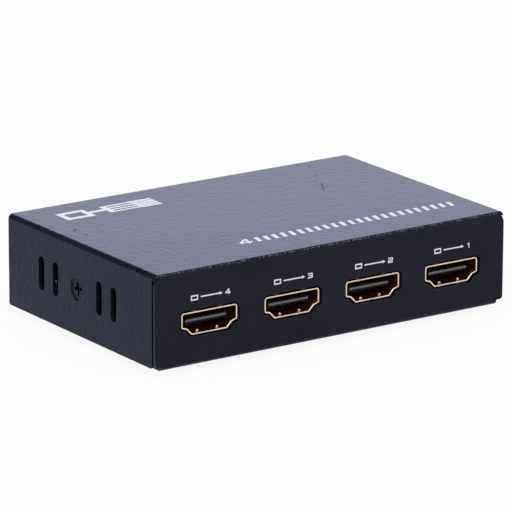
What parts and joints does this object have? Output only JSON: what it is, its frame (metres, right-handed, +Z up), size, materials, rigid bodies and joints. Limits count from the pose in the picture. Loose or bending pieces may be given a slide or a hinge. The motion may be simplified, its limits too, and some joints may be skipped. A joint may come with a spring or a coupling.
{
  "type": "video splitter",
  "caption": "Small black steel box that takes one video source and repeats it to a row of screen sockets, with power jack, slide switch and lamps at the rear.",
  "frame": {"origin": "centre of the overall box in plan, on the surface that the feet stand on", "axes": "+X to the right as seen from the side with the row of output sockets, which look towards -Y; the input, power jack, switch and lamps look towards +Y; +Z up"},
  "size_m": [0.095, 0.0613, 0.0235],
  "materials": {
    "powder_coat": "fine textured black powder coat on folded steel",
    "black_screw": "blackened steel",
    "foot_rubber": "matt",
    "zinc_steel": "zinc plated",
    "solder_mask": "green solder mask on glass-epoxy board",
    "gold_shell": "gold plated, polished",
    "gold_contact": "gold plated",
    "black_moulding": "moulded",
    "bright_pin": "nickel plated",
    "spring_brass": "bare spring bronze",
    "tinned_lead": "tinned",
    "brown_phenolic": "pressed",
    "red_lens": "diffused",
    "green_lens": "diffused",
    "chip_epoxy": "moulded, fine grain",
    "grey_pad": "soft",
    "black_anodised": "anodised",
    "ferrite": "sintered, matt",
    "bare_aluminium": "drawn",
    "tan_ceramic": "fired, with tinned ends",
    "resistor_film": "glazed"
  },
  "bodies": {
    "case": {"top_cover": "powder_coat", "base_tray": "powder_coat", "cover_screws": "black_screw", "rubber_feet": "foot_rubber", "board_standoffs": "zinc_steel", "board_screws": "zinc_steel", "circuit_board": "solder_mask", "dc_jack_body": "black_moulding", "dc_jack_pin": "bright_pin", "dc_jack_spring": "spring_brass", "dc_jack_shunt": "spring_brass", "power_switch_frame": "zinc_steel", "power_switch_terminals": "tinned_lead", "power_switch_base": "brown_phenolic", "power_led": "red_lens", "output_leds": "green_lens", "led_leads": "tinned_lead", "splitter_chip": "chip_epoxy", "splitter_chip_leads": "tinned_lead", "microcontroller": "chip_epoxy", "microcontroller_leads": "tinned_lead", "memory_chips": "chip_epoxy", "memory_chip_leads": "tinned_lead", "voltage_regulators": "chip_epoxy", "regulator_leads": "tinned_lead", "thermal_pad": "grey_pad", "heat_sink": "black_anodised", "inductor_shield": "ferrite", "inductor_core": "ferrite", "capacitor_bases": "black_moulding", "capacitor_cans": "bare_aluminium", "input_diode": "chip_epoxy", "crystal_can": "bright_pin", "crystal_leads": "tinned_lead", "ceramic_capacitors": "tan_ceramic", "chip_resistors": "resistor_film", "surge_arrays": "chip_epoxy", "output_4_shell": "gold_shell", "output_4_insulator": "black_moulding", "output_4_contacts": "gold_contact", "output_3_shell": "gold_shell", "output_3_insulator": "black_moulding", "output_3_contacts": "gold_contact", "output_2_shell": "gold_shell", "output_2_insulator": "black_moulding", "output_2_contacts": "gold_contact", "output_1_shell": "gold_shell", "output_1_insulator": "black_moulding", "output_1_contacts": "gold_contact", "input_shell": "gold_shell", "input_insulator": "black_moulding", "input_contacts": "gold_contact"},
    "power_switch": {"power_switch_slider": "black_moulding", "power_switch_wiper": "spring_brass"}
  },
  "joints": [
    {"name": "power_switch_slide", "type": "slide", "parent": "case", "child": "power_switch", "axis": [1, 0, 0], "range_m": [0, 0.002]}
  ]
}
